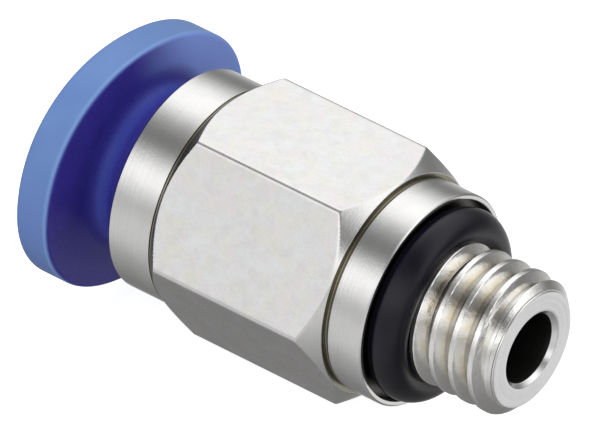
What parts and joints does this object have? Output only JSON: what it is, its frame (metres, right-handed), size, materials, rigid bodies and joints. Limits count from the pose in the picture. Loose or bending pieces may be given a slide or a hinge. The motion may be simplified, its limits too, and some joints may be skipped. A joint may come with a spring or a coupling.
{
  "type": "push to connect fitting",
  "caption": "Straight push-to-connect pneumatic fitting: hexagon metal body, short male thread with a rubber port gasket, and an oval button that releases the tube.",
  "frame": {"origin": "on the fitting's axis, in the plane of the collar face that seats on the port", "axes": "+X along the axis towards the threaded end, the tube goes in from -X; +Z square to one hexagon flat; +Y completes a right-handed frame"},
  "size_m": [0.0177, 0.0104, 0.009],
  "materials": {
    "nickel_plate": "bright nickel plate over turned brass",
    "gasket_rubber": "satin moulded nitrile rubber",
    "seal_rubber": "satin moulded nitrile rubber",
    "natural_acetal": "satin natural acetal",
    "spring_steel": "stamped stainless spring steel",
    "blue_acetal": "satin moulded blue acetal"
  },
  "bodies": {
    "root": {"fitting_body": "nickel_plate", "port_gasket": "gasket_rubber", "tube_seal": "seal_rubber", "backing_ring": "natural_acetal", "guide_ring": "nickel_plate"},
    "claw_set": {"lock_claw": "spring_steel", "claw_holder": "natural_acetal"},
    "button": {"release_button": "blue_acetal"}
  },
  "joints": [
    {"name": "tube_swivel", "type": "hinge", "parent": "root", "child": "claw_set", "pos_m": [0, 0, 0], "axis": [1, 0, 0], "continuous": true},
    {"name": "button_press", "type": "slide", "parent": "claw_set", "child": "button", "axis": [1, 0, 0], "range_m": [0, 0.0011], "stiffness_N_per_m": 150, "springref_m": -0.0003, "deforming": ["lock_claw"]}
  ]
}
